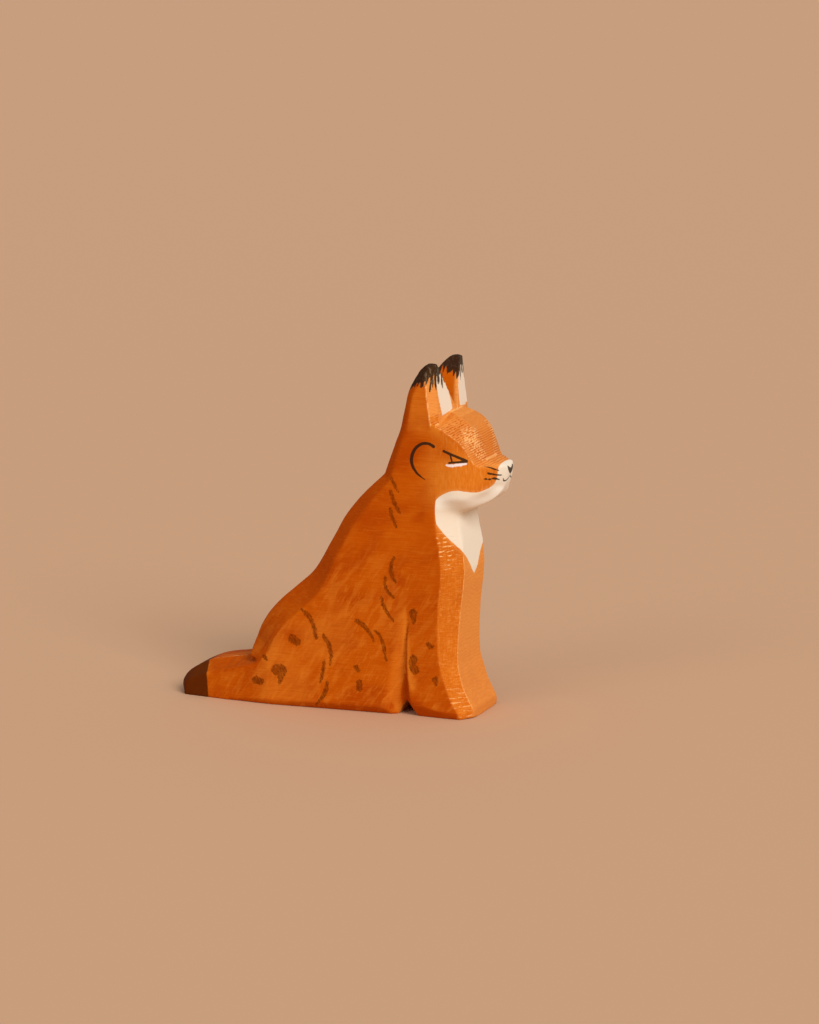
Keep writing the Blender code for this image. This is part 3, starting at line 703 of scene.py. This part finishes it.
def cut_shares(points, normals):
    """How far each point belongs to the cuts that differ from the plain side, and its shade: the stain's
    tone with painted light and shade.
    """
    x, y, z = (points / MM).T
    forward, across, up = normals[:, 0], np.abs(normals[:, 1]), normals[:, 2]
    seen = in_side_view(points)
    # Each step runs over a length of the animal, in mm, or over how far a cut faces along an axis
    head = step(66.0, 70.0, z) * step(27.0, 31.0, x)
    ear_height = step(84.5, 86.0, z) * step(95.0, 92.5, z)
    slanted = step(0.28, 0.45, across) * step(0.97, 0.90, across) * step(0.05, 0.25, forward)
    brow = head * slanted * step(71.0, 73.0, z) * step(86.5, 85.0, z) * step(0, 0.2, up)
    ear_front = step(84.5, 85.5, z) * step(0.2, 0.4, forward)
    front_of_parting = step(1.5, 0.9, 32.2 - 0.185 * (z - 88.6) - x) * (np.abs(y) < 9)
    beside_parting = ear_height * step(0.5, 0.7, across) * front_of_parting
    front = step(0.10, 0.40, forward) * step(0.60, 0.35, across)
    muzzle_top = step(41.5, 43.0, x) * step(0.75, 0.90, up)
    back = step(0.15, 0.45, -forward) * step(0.97, 0.90, across) * step(0.75, 0.55, up)
    speckled = step(4, -1.5, distance_to_area(seen, SPECKLED)) * head * (np.abs(y) < 12.5)
    return {
        "brow": np.maximum(brow, speckled * step(0.05, 0.25, forward)),
        "forehead": head * step(0.4, 0.2, across) * step(82.0, 78.0, z),
        "speckled": speckled,
        # Paler stain and painted sheen on cuts that face forwards, less on the head and near the base
        "front": np.maximum.reduce([
            front * (1 - 0.3 * head * (z < 84)) * (1 - 0.25 * step(24, 8, z)),
            0.95 * ear_front, beside_parting, muzzle_top,
        ]),
        # Painted shade: cuts that face back are painted deeper
        "shade": stain_tone_and_painted_light(seen) - 0.9 * back,
        # Painted light: the cream is lighter along the throat's shadow
        "throat": step(9.0, 2.0, distance_to_path(seen, THROAT_LINE)),
        "chamfer": slanted * step(60.0, 56.0, z) * step(30.0, 32.0, x),
        "upright": np.maximum(step(57, 64, z) * step(28, 37, x) * (1 - brow), ear_front),
    }


def wear(points, normals, worn_ends):
    """Distance in mm to what sanding wore pale, below zero in it. Nothing that faces back is worn."""
    crease = distance_to_path(in_side_view(points), CREASE) / UNITS_AT_BROW - CREASE_HALF_WIDTH
    worn = np.minimum(distance_to_edges(points, normals, *worn_ends), crease)
    return worn + OFF_SIDE * step(-0.3, -0.5, normals[:, 0])


class LYNX_OT_carved_body(bpy.types.Operator):
    """Lay the wood's surface over the solid, soften its edges and lay out the brushwork on it"""

    bl_idname = "lynx.carved_body"
    bl_label = "Carved body"

    def execute(self, context):
        wood = context.scene.lynx_wood
        solid = solid_mesh("carved_body")
        worn_ends = worn_edge_ends(solid)
        mesh = even_surface(solid, wood.grid)
        if len(mesh.vertices) < LEAST_POINTS:
            raise RuntimeError("the even surface is nearly empty")
        soften(mesh, wood.softening, wood.inset, wood.waviness)
        near = paint_distances(mesh_points(mesh), mesh_normals(mesh))
        mesh = thin_out(mesh, plain_flats(mesh_normals(mesh), near), PLAIN_SHARE)
        near = paint_distances(mesh_points(mesh), mesh_normals(mesh))
        fine_brushwork = np.minimum.reduce([near["ink"], near["eye_white"], np.abs(near["ear_black"])])
        refine(mesh, fine_brushwork < FINE_REACH)
        # Nothing lies below the base
        put_points(mesh, np.maximum(mesh_points(mesh), (-np.inf, -np.inf, 0)))
        points, normals = mesh_points(mesh), mesh_normals(mesh)
        put_attribute(mesh, "edge", wear(points, normals, worn_ends))
        for attributes in (paint_distances(points, normals), cut_shares(points, normals)):
            for name, values in attributes.items():
                put_attribute(mesh, name, values)
        mesh.shade_smooth()
        body = object_of("lynx_body", mesh)
        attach(body, "root")
        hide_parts("carved_body")
        return {"FINISHED"}


class Nodes:
    """Adds shader nodes to a material. A socket that is given as an input is linked, and a value is set."""

    def __init__(self, material):
        material.use_nodes = True
        self.tree = material.node_tree
        self.tree.nodes.clear()

    def add(self, kind, inputs=(), **settings):
        made = self.tree.nodes.new(kind)
        for key, value in settings.items():
            setattr(made, key, value)
        for key, value in dict(inputs).items():
            if isinstance(value, bpy.types.NodeSocket):
                self.tree.links.new(value, made.inputs[key])
            else:
                made.inputs[key].default_value = value
        return made

    def math(self, operation, first, second=0.0, third=0.0):
        return self.add("ShaderNodeMath", {0: first, 1: second, 2: third}, operation=operation).outputs[0]

    def scaled(self, value, factor, offset):
        """The value times a factor, plus an offset."""
        return self.math("MULTIPLY_ADD", value, factor, offset)

    def product(self, first, *others):
        for other in others:
            first = self.math("MULTIPLY", first, other)
        return first

    def step(self, low, high, value):
        """0 at low and 1 at high, and smooth between."""
        inputs = {"Value": value, "From Min": low, "From Max": high}
        return self.add("ShaderNodeMapRange", inputs, interpolation_type="SMOOTHSTEP").outputs[0]

    def mix(self, share, first, second):
        """The first colour, with the second one mixed in by this share."""
        first, second = (c if isinstance(c, bpy.types.NodeSocket) else (*c, 1) for c in (first, second))
        return self.add("ShaderNodeMix", {0: share, 6: first, 7: second}, data_type="RGBA").outputs[2]

    def tint(self, coat, colour, *shares):
        """The coat, with a colour mixed in by the product of these shares."""
        return self.mix(self.product(*shares), coat, colour)

    def places_in_mm(self):
        """Object coordinates in mm, which the noises read too."""
        places = self.add("ShaderNodeTexCoord").outputs["Object"]
        self.mm = self.add("ShaderNodeMapping", {"Vector": places, "Scale": (1000, 1000, 1000)}).outputs[0]
        return self.add("ShaderNodeSeparateXYZ", {"Vector": self.mm}).outputs[:]

    def noise(self, sizes, turn, detail, roughness=0.55, distortion=0.0):
        """Noise with features of these sizes in mm along x, y and z, tipped by a turn about y."""
        inputs = {"Vector": self.mm, "Rotation": (0, math.radians(-turn), 0), "Scale": sizes}
        laid = self.add("ShaderNodeMapping", inputs, vector_type="TEXTURE").outputs[0]
        return self.add("ShaderNodeTexNoise", {
            "Vector": laid, "Scale": 1.0, "Detail": detail, "Roughness": roughness, "Distortion": distortion,
        }).outputs["Fac"]

    def waves(self, place, spacing, wander, amount):
        """Sine waves with this spacing in mm, between -1 and 1, whose phase wanders by a noise."""
        return self.math("SINE", self.scaled(wander, amount, self.product(place, 2 * math.pi / spacing)))

    def attribute(self, name):
        return self.add("ShaderNodeAttribute", attribute_name=name).outputs["Fac"]

    def painted(self, name, noise, amount, softness, inwards=0.0):
        """1 inside a painted outline and 0 outside it. A noise moves it out and in by half this amount."""
        ragged = self.scaled(noise, amount, inwards - 0.5 * amount)
        return self.step(softness, -softness, self.math("ADD", self.attribute(name), ragged))


def stained_grain(nodes, z, wood):
    """The stain as it took on the sawn and cut wood, with painted light and shade mixed in, and the fine
    relief of the grain.
    """
    sawn = nodes.noise((5.0, 1.6, 0.33), 0, 3, 0.6)
    upright = nodes.noise((0.46, 0.46, 2.6), 3, 3, 0.6)
    mottle = nodes.noise((0.9, 0.9, 0.6), 20, 4, 0.65)
    slow = nodes.noise((14, 10, 9), 30, 3, 0.5, 0.5)
    strokes = nodes.noise((7.0, 3.0, 2.0), 56, 1.5, 0.45, 0.6)
    golden = nodes.noise((2.6, 1.6, 0.62), 60, 3, 0.6, 0.3)
    upright_share, shade = nodes.attribute("upright"), nodes.attribute("shade")
    plain_side = nodes.math("SUBTRACT", 1.0, upright_share)
    low_down = nodes.step(60, 30, z)
    # The shade paints the stain paler above zero and deeper below it, partly its tone and partly painted
    # light and shade
    paler = nodes.math("MAXIMUM", shade, 0.0)
    deeper = nodes.math("MAXIMUM", nodes.product(shade, -1.0), 0.0)

    stain = nodes.mix(nodes.step(0.36, 0.62, slow), wood.deep_stain_and_painted_shade, wood.stain)
    for colour, *shares in (
        (wood.pale_stain_and_painted_light, nodes.step(0.44, 0.70, strokes), low_down, 0.46),
        (wood.pale_stain_and_painted_light, nodes.step(0.52, 0.72, golden), low_down, 0.42),
        (wood.pale_stain_and_painted_light, paler, nodes.scaled(mottle, 0.5, 0.75)),
        (wood.deep_stain_and_painted_shade, deeper, nodes.scaled(mottle, 0.4, 0.75)),
        (wood.pale_stain_and_painted_light, nodes.step(0.50, 0.66, sawn), plain_side, 0.17),
        (wood.deep_stain_and_painted_shade, nodes.step(0.48, 0.34, sawn), plain_side, 0.26),
        (wood.front_stain_and_painted_sheen, nodes.step(0.50, 0.68, upright), upright_share, 0.34),
        (wood.stain, nodes.step(0.48, 0.32, upright), upright_share, 0.38),
        (wood.pale_stain_and_painted_light, nodes.step(0.55, 0.75, mottle), 0.22),
    ):
        stain = nodes.tint(stain, colour, *shares)
    relief = nodes.math("ADD", nodes.product(sawn, plain_side), nodes.product(upright, upright_share))
    return stain, relief


def end_grain(nodes, z, stain, wood):
    """The smooth cuts that face forwards are paler, partly a thinner stain on the end grain and partly
    painted sheen and light, with faint rings of the grain across them.
    """
    front = nodes.attribute("front")
    mottle = nodes.noise((0.8, 0.8, 0.45), 0, 4, 0.65)
    waves = nodes.waves(z, RING_SPACING, nodes.noise((7.0, 5.0, 5.0), 0, 2), 22.0)
    rings = nodes.scaled(waves, 0.5, 0.5)
    fine = nodes.noise((1.6, 1.6, 0.3), 0, 2, 0.6)
    stain = nodes.tint(stain, wood.front_stain_and_painted_sheen, front, nodes.scaled(mottle, 0.18, 0.84))
    stain = nodes.tint(stain, wood.stain, front, nodes.step(0.6, 1.0, rings), mottle, 0.30)
    return nodes.tint(stain, wood.stain, front, nodes.step(0.52, 0.36, fine), 0.14)


def woven_chamfer(nodes, x, z, stain, wood):
    """The front chamfer is painted paler, partly as painted light, and looks woven. The knife scratched it
    below the bib and at the foot.
    """
    chamfer = nodes.attribute("chamfer")
    level = nodes.noise((1.7, 1.7, 0.28), 0, 2, 0.6)
    plumb = nodes.noise((0.28, 0.28, 2.2), 0, 2, 0.5)
    woven = nodes.scaled(level, 0.62, nodes.product(plumb, 0.38))
    # Painted light in part: the chamfer is paler
    stain = nodes.tint(stain, wood.pale_stain_and_painted_light, chamfer, 0.55)
    stain = nodes.tint(stain, wood.front_stain_and_painted_sheen, nodes.step(0.50, 0.62, woven), chamfer, 0.40)
    stain = nodes.tint(stain, wood.stain, nodes.step(0.49, 0.38, woven), chamfer, 0.36)
    waves = nodes.waves(z, SCRATCH_SPACING, nodes.noise((3.0, 3.0, 2.0), 0, 2), 5.0)
    broken = nodes.step(0.47, 0.56, nodes.noise((2.0, 2.0, 1.0), 0, 3, 0.6))
    below_bib = nodes.product(nodes.step(41, 44, z), nodes.step(53, 51, z), nodes.step(37.0, 34.5, x))
    at_foot = nodes.product(nodes.step(11, 6, z), 0.45)
    either = nodes.math("MAXIMUM", below_bib, at_foot)
    scratched = nodes.product(nodes.step(0.45, 0.85, waves), broken, chamfer, either)
    return nodes.tint(stain, wood.worn, scratched, 0.95), scratched


def rippled_brow(nodes, x, z, stain, wood):
    """The knife left fine ripples and speckles on the brow, and faint ripples on the forehead."""
    brow, forehead, speckled = (nodes.attribute(name) for name in ("brow", "forehead", "speckled"))
    slanting = nodes.math("SUBTRACT", z, nodes.product(x, 0.55))
    waves = nodes.waves(slanting, RIPPLE_SPACING, nodes.noise((2.5, 2.5, 2.5), 0, 3), 7.0)
    waves = nodes.scaled(waves, 0.5, 0.5)
    broken = nodes.step(0.36, 0.60, nodes.noise((1.0, 1.0, 0.7), 30, 3, 0.6))
    rippled = nodes.product(waves, broken, brow, nodes.scaled(speckled, -0.15, 1))
    speckle = nodes.step(0.40, 0.58, nodes.noise((0.85, 0.85, 0.55), 35, 4, 0.7))
    stain = nodes.tint(stain, wood.pale_stain_and_painted_light, brow, 0.45)
    stain = nodes.tint(stain, wood.worn, brow, speckle, nodes.scaled(speckled, 0.62, 0.18))
    stain = nodes.tint(stain, wood.deep_stain_and_painted_shade, rippled, 0.90)
    return nodes.tint(stain, wood.stain, forehead, nodes.step(0.35, 1.0, waves), 0.55), rippled


def worn_edges(nodes, stain, wood):
    """Sanding took the stain off some edges, in broken lines."""
    patchy = nodes.noise((0.5, 0.5, 0.7), 0, 4, 0.7)
    return nodes.tint(stain, wood.worn, nodes.painted("edge", patchy, -0.9, 0.16), 0.62)


def coat_marks(nodes, coat, bristle, paint):
    """Brown dashes and spots, in which the brush left lighter streaks."""
    thin = nodes.noise((1.5, 1.0, 0.32), -65, 3, 0.6)
    cover = nodes.scaled(nodes.step(0.58, 0.42, thin), 0.42, 0.46)
    marks = nodes.painted("coat_marks", bristle, 4.4, 0.6, 0.1)
    return nodes.tint(coat, paint.mark, marks, cover)


def creamed(nodes, coat, bristle, paint, wood):
    """Cream on the ears, muzzle, jaw and bib, with a thin stained rim. It is painted lighter in the throat's
    shadow and on cuts that face forwards: painted light.
    """
    rim = nodes.step(4.5, 0.0, nodes.attribute("cream"))
    coat = nodes.tint(coat, wood.front_stain_and_painted_sheen, rim, 0.5, nodes.step(0.3, 0.6, bristle))
    upright = nodes.noise((0.7, 0.7, 9.0), 0, 3, 0.6)
    cream = nodes.tint(paint.cream, wood.worn, nodes.step(0.45, 0.75, upright), 0.10)
    # Painted light: the cream is lighter in the throat's shadow and on cuts that face forwards
    painted_light_share = nodes.math("MAXIMUM", nodes.attribute("throat"), nodes.product(nodes.attribute("front"), 0.27))
    cream = nodes.tint(cream, paint.cream_painted_light, painted_light_share, 0.85)
    coat = nodes.tint(coat, cream, nodes.painted("cream", bristle, 1.3, 0.45))
    return nodes.tint(coat, cream, nodes.painted("ear_white", bristle, 1.6, 0.5), 0.95)


def black_ear_tips(nodes, coat, paint):
    """The black of the ears, which ends in pointed strokes and is greyer where the brush ran dry and where a
    sheen is painted, more on cuts that face forwards.
    """
    hairs = nodes.noise((0.30, 0.30, 2.6), 8, 3, 0.6)
    streaks = nodes.step(0.50, 0.66, nodes.noise((0.42, 0.42, 2.2), 25, 3, 0.6))
    # Painted sheen with the dry brush: the grey is stronger on cuts that face forwards
    dry = nodes.scaled(nodes.attribute("front"), 0.55, 0.15)
    black = nodes.tint(paint.black, paint.dry_black_and_painted_sheen, streaks, dry)
    return nodes.tint(coat, black, nodes.painted("ear_black", hairs, 2.6, 0.45), 0.96)


def wood_finish(wood, paint):
    material = bpy.data.materials.new("stained_painted_wood")
    nodes = Nodes(material)
    x, _, z = nodes.places_in_mm()
    bristle = nodes.noise((0.62, 0.62, 0.62), 0, 3, 0.6)

    coat, grain = stained_grain(nodes, z, wood)
    coat = end_grain(nodes, z, coat, wood)
    coat, scratched = woven_chamfer(nodes, x, z, coat, wood)
    coat, rippled = rippled_brow(nodes, x, z, coat, wood)
    coat = worn_edges(nodes, coat, wood)
    coat = coat_marks(nodes, coat, bristle, paint)
    coat = nodes.tint(coat, paint.tail, nodes.painted("tail_tip", bristle, 1.6, 0.6), 0.94)
    coat = creamed(nodes, coat, bristle, paint, wood)
    coat = black_ear_tips(nodes, coat, paint)
    coat = nodes.tint(coat, paint.eye_white, nodes.painted("eye_white", bristle, 2.2, 0.4), 0.93)
    coat = nodes.tint(coat, paint.black, nodes.painted("ink", bristle, 0.9, 0.35), 0.93)

    marks = nodes.math("ADD", rippled, scratched)
    height = nodes.math("SUBTRACT", nodes.product(grain, 0.5), nodes.product(marks, 0.8))
    bump = nodes.add("ShaderNodeBump", {"Height": height, "Strength": 0.35, "Distance": RELIEF})
    shader = nodes.add("ShaderNodeBsdfPrincipled", {
        "Base Color": coat,
        "Normal": bump.outputs[0],
        "Roughness": nodes.scaled(grain, 0.16, wood.roughness - 0.08),
        "Specular IOR Level": wood.gloss,
    })
    nodes.add("ShaderNodeOutputMaterial", {"Surface": shader.outputs[0]})
    return material


class LYNX_OT_finish(bpy.types.Operator):
    """Give the body its stain, grain, worn edges and brushwork"""

    bl_idname = "lynx.finish"
    bl_label = "Stain and paint"

    def execute(self, context):
        body = bpy.data.objects["lynx_body"]
        body.data.materials.clear()
        body.data.materials.append(wood_finish(context.scene.lynx_wood, context.scene.lynx_paint))
        return {"FINISHED"}


def soft_light(name, azimuth, elevation, strength, tint):
    """Light from far away, as soft as from a wide screen. At azimuth 0 it comes along +Y."""
    light = bpy.data.lights.new(name, "SUN")
    light.angle = LIGHT_WIDTH
    light.energy = strength * math.pi
    light.color = tint
    object_of(name, light).rotation_euler = (math.radians(90 - elevation), 0, math.radians(azimuth))


def pale_floor(stage):
    """A disc in rings: radius grows with the square of the ring's number, and all of it lies on z = 0."""
    rings, sides = 24, 96
    radius = FLOOR_RADIUS * (np.arange(1, rings + 1) / rings) ** 2
    turn = np.arange(sides) * 2 * math.pi / sides
    x, y = np.outer(radius, np.cos(turn)), np.outer(radius, np.sin(turn))
    points = np.vstack([[[0.0, 0.0, 0.0]], np.stack([x, y, np.zeros_like(x)], axis=2).reshape(-1, 3)])
    index = 1 + np.arange(rings * sides).reshape(rings, sides)
    after = np.roll(index, -1, axis=1)
    squares = np.stack([index[:-1], index[1:], after[1:], after[:-1]], axis=2).reshape(-1, 4)
    centre = np.stack([np.zeros(sides, int), index[0], after[0]], axis=1)
    mesh = bpy.data.meshes.new("floor")
    mesh.from_pydata(points.tolist(), [], centre.tolist() + squares.tolist())
    mesh.update()
    material = bpy.data.materials.new("pale_floor")
    nodes = Nodes(material)
    shader = nodes.add("ShaderNodeBsdfPrincipled", {"Base Color": (*stage.floor, 1), "Roughness": 0.9})
    nodes.add("ShaderNodeOutputMaterial", {"Surface": shader.outputs[0]})
    mesh.materials.append(material)
    return object_of("floor", mesh)


class LYNX_OT_stage(bpy.types.Operator):
    """Set out the pale floor, the soft light and the camera"""

    bl_idname = "lynx.stage"
    bl_label = "Stage"

    def execute(self, context):
        scene = context.scene
        stage = scene.lynx_stage
        pale_floor(stage)
        world = bpy.data.worlds.new("studio")
        scene.world = world
        world.use_nodes = True
        background = world.node_tree.nodes["Background"]
        background.inputs["Color"].default_value = (1.0, 0.98, 0.96, 1)
        background.inputs["Strength"].default_value = stage.world
        soft_light("key_light", 50, 35, stage.key, (1.0, 0.985, 0.96))
        soft_light("fill_light", -20, 30, stage.fill, (1.0, 0.99, 0.98))
        data = bpy.data.cameras.new("camera")
        data.sensor_width = 36
        data.lens = data.sensor_width * VIEW_SCALE / VIEW_HEIGHT
        data.clip_start = 0.1
        data.clip_end = 20
        camera = object_of("camera", data)
        camera.location = VIEW_PLACE
        camera.rotation_euler = (math.pi / 2 - VIEW_ELEVATION, 0, VIEW_AZIMUTH)
        scene.camera = camera
        scene.view_settings.view_transform = "Standard"
        return {"FINISHED"}


class LYNX_PT_panel(bpy.types.Panel):
    """Lists what the figurine is made of"""

    bl_label = "Carved Lynx"
    bl_space_type = "VIEW_3D"
    bl_region_type = "UI"
    bl_category = "Lynx"

    def draw(self, context):
        for group in SETTINGS:
            settings = getattr(context.scene, group)
            box = self.layout.box()
            for name in settings.__annotations__:
                box.prop(settings, name)
        for operator in OPERATORS:
            self.layout.operator(operator.bl_idname)


SETTINGS = {"lynx_wood": WoodSettings, "lynx_paint": PaintSettings, "lynx_stage": StageSettings}
OPERATORS = (LYNX_OT_carved_body, LYNX_OT_finish, LYNX_OT_stage)
CLASSES = (*SETTINGS.values(), *OPERATORS, LYNX_PT_panel)


def register():
    for cls in CLASSES:
        bpy.utils.register_class(cls)
    for group, cls in SETTINGS.items():
        setattr(bpy.types.Scene, group, bpy.props.PointerProperty(type=cls))


def unregister():
    for group in SETTINGS:
        delattr(bpy.types.Scene, group)
    for cls in reversed(CLASSES):
        bpy.utils.unregister_class(cls)


def main():
    register()
    bpy.ops.lynx.carved_body()
    bpy.ops.lynx.finish()
    bpy.ops.lynx.stage()


if __name__ == "__main__":
    main()
